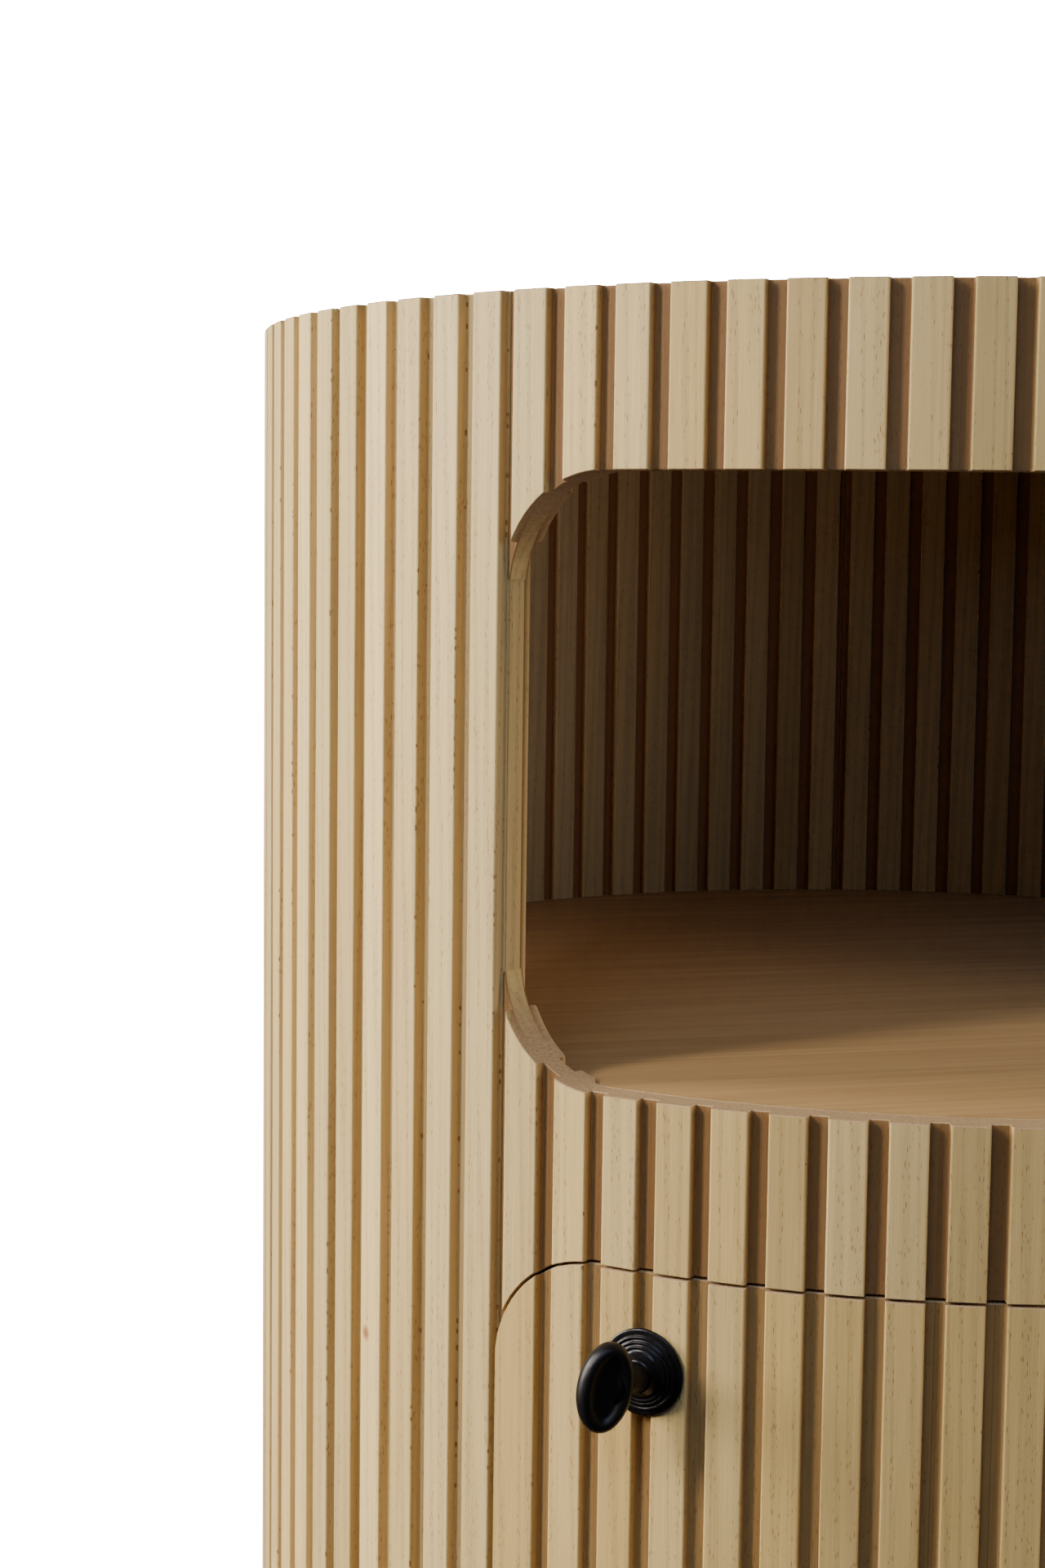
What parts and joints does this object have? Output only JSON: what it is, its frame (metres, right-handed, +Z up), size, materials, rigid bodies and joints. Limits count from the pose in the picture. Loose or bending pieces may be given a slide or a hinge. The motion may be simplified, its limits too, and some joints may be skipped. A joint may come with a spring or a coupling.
{
  "type": "round bedside drawer unit",
  "caption": "Round fluted oak cabinet with an open rounded niche above a bow-fronted drawer that slides out on telescopic runners and has oval cast knobs.",
  "frame": {"origin": "on the floor, under the centre of the round footprint", "axes": "+Z up; the open front with the niche and the drawer faces -Y; +X is to the right as seen from the front"},
  "size_m": [0.58, 0.5798, 0.612],
  "materials": {
    "oak_staves": "pale natural oak staves, matt clear oil, browner in the grooves",
    "oak_board": "oak boards, matt clear oil",
    "birch_ply": "bare birch boards, sanded",
    "black_iron": "cast iron, satin black",
    "zinc_steel": "zinc-plated steel",
    "black_plastic": "matt black plastic"
  },
  "bodies": {
    "cabinet": {"bottom_board": "oak_board", "bottom_rail": "oak_staves", "glide_1": "black_plastic", "glide_2": "black_plastic", "glide_3": "black_plastic", "glide_4": "black_plastic", "middle_rail": "oak_staves", "runner_board_left": "birch_ply", "runner_board_right": "birch_ply", "shelf": "oak_board", "slide_cabinet_left": "zinc_steel", "slide_cabinet_right": "zinc_steel", "top_board": "oak_board", "top_rail": "oak_staves", "wall_panel_1": "oak_staves", "wall_panel_2": "oak_staves", "wall_panel_3": "oak_staves", "wall_panel_4": "oak_staves", "wall_panel_5": "oak_staves", "wall_panel_6": "oak_staves", "wall_panel_7": "oak_staves", "wall_panel_8": "oak_staves", "wall_panel_9": "oak_staves"},
    "drawer": {"drawer_front": "oak_staves", "drawer_side_left": "birch_ply", "drawer_side_right": "birch_ply", "drawer_back": "birch_ply", "drawer_bottom": "birch_ply", "rosette_left": "black_iron", "rosette_right": "black_iron", "knob_left": "black_iron", "knob_right": "black_iron", "knob_screw_left": "zinc_steel", "knob_screw_right": "zinc_steel", "slide_drawer_left": "zinc_steel", "slide_drawer_right": "zinc_steel"},
    "slide_middle_left": {"slide_middle_left": "zinc_steel"},
    "slide_middle_right": {"slide_middle_right": "zinc_steel"}
  },
  "joints": [
    {"name": "drawer_slide", "type": "slide", "parent": "cabinet", "child": "drawer", "axis": [0, -1, 0], "range_m": [0, 0.25]},
    {"name": "slide_middle_left_slide", "type": "slide", "parent": "cabinet", "child": "slide_middle_left", "axis": [0, -1, 0], "range_m": [0, 0.125]},
    {"name": "slide_middle_right_slide", "type": "slide", "parent": "cabinet", "child": "slide_middle_right", "axis": [0, -1, 0], "range_m": [0, 0.125]}
  ],
  "couplings": [
    {"joint": "slide_middle_left_slide", "follows": "drawer_slide", "ratio": 0.5},
    {"joint": "slide_middle_right_slide", "follows": "drawer_slide", "ratio": 0.5}
  ]
}
